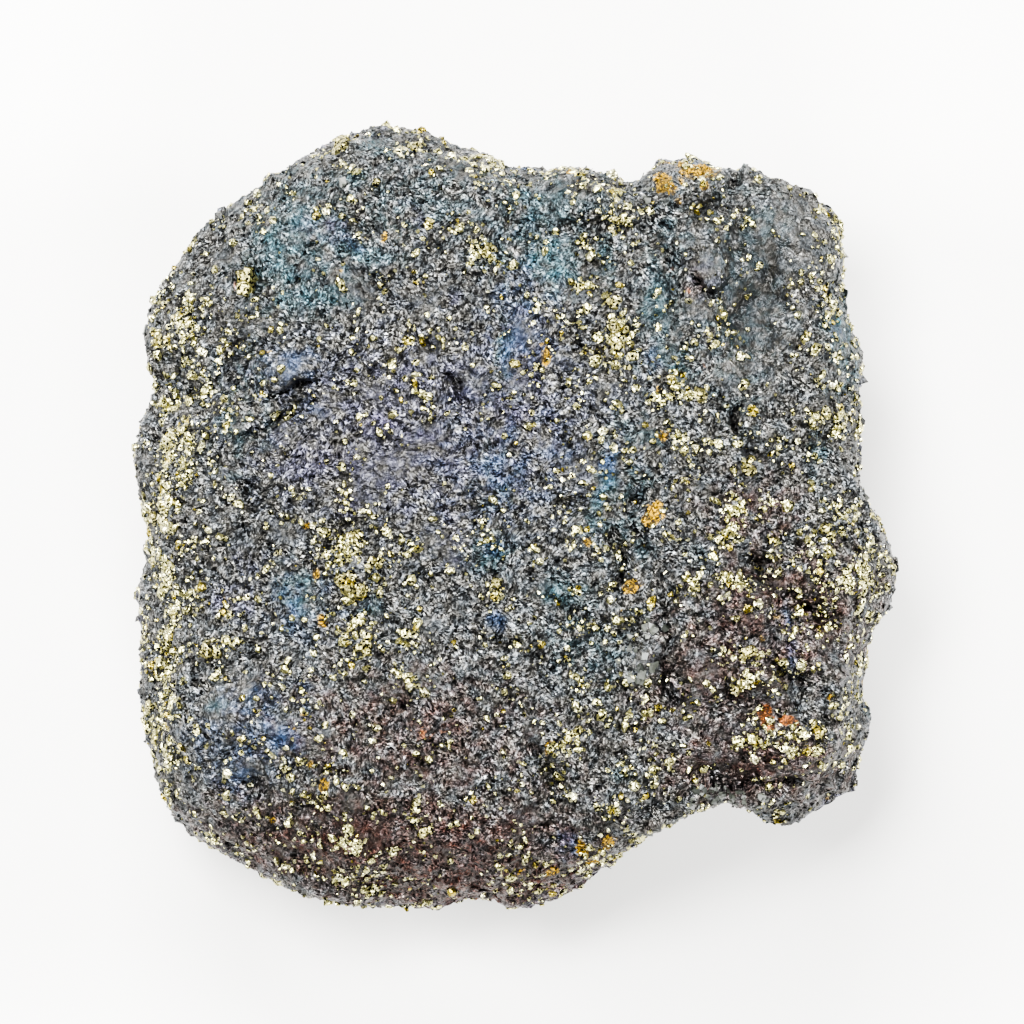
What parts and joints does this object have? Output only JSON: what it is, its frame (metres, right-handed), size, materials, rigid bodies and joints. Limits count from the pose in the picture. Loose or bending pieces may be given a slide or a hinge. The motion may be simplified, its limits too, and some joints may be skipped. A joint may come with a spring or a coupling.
{
  "type": "chalcocite specimen",
  "caption": "Hand specimen of massive chalcocite ore: a granular, tarnished blue-grey stone with pyrite grains, ledges, pits and cracks, lying on a flat broken back.",
  "frame": {"origin": "centre of the bounding box in X and Y, at the height of the flat break that the stone rests on", "axes": "+Z out of the weathered face that the picture shows, +Y towards the upper edge of that face as pictured, +X towards its right"},
  "size_m": [0.064, 0.066, 0.0286],
  "materials": {
    "chalcocite": "granular broken massive chalcocite, dull to metallic, with iridescent tarnish, pyrite grains, rusty spots and a little quartz"
  },
  "bodies": {
    "root": {"chalcocite": "chalcocite"}
  },
  "joints": []
}
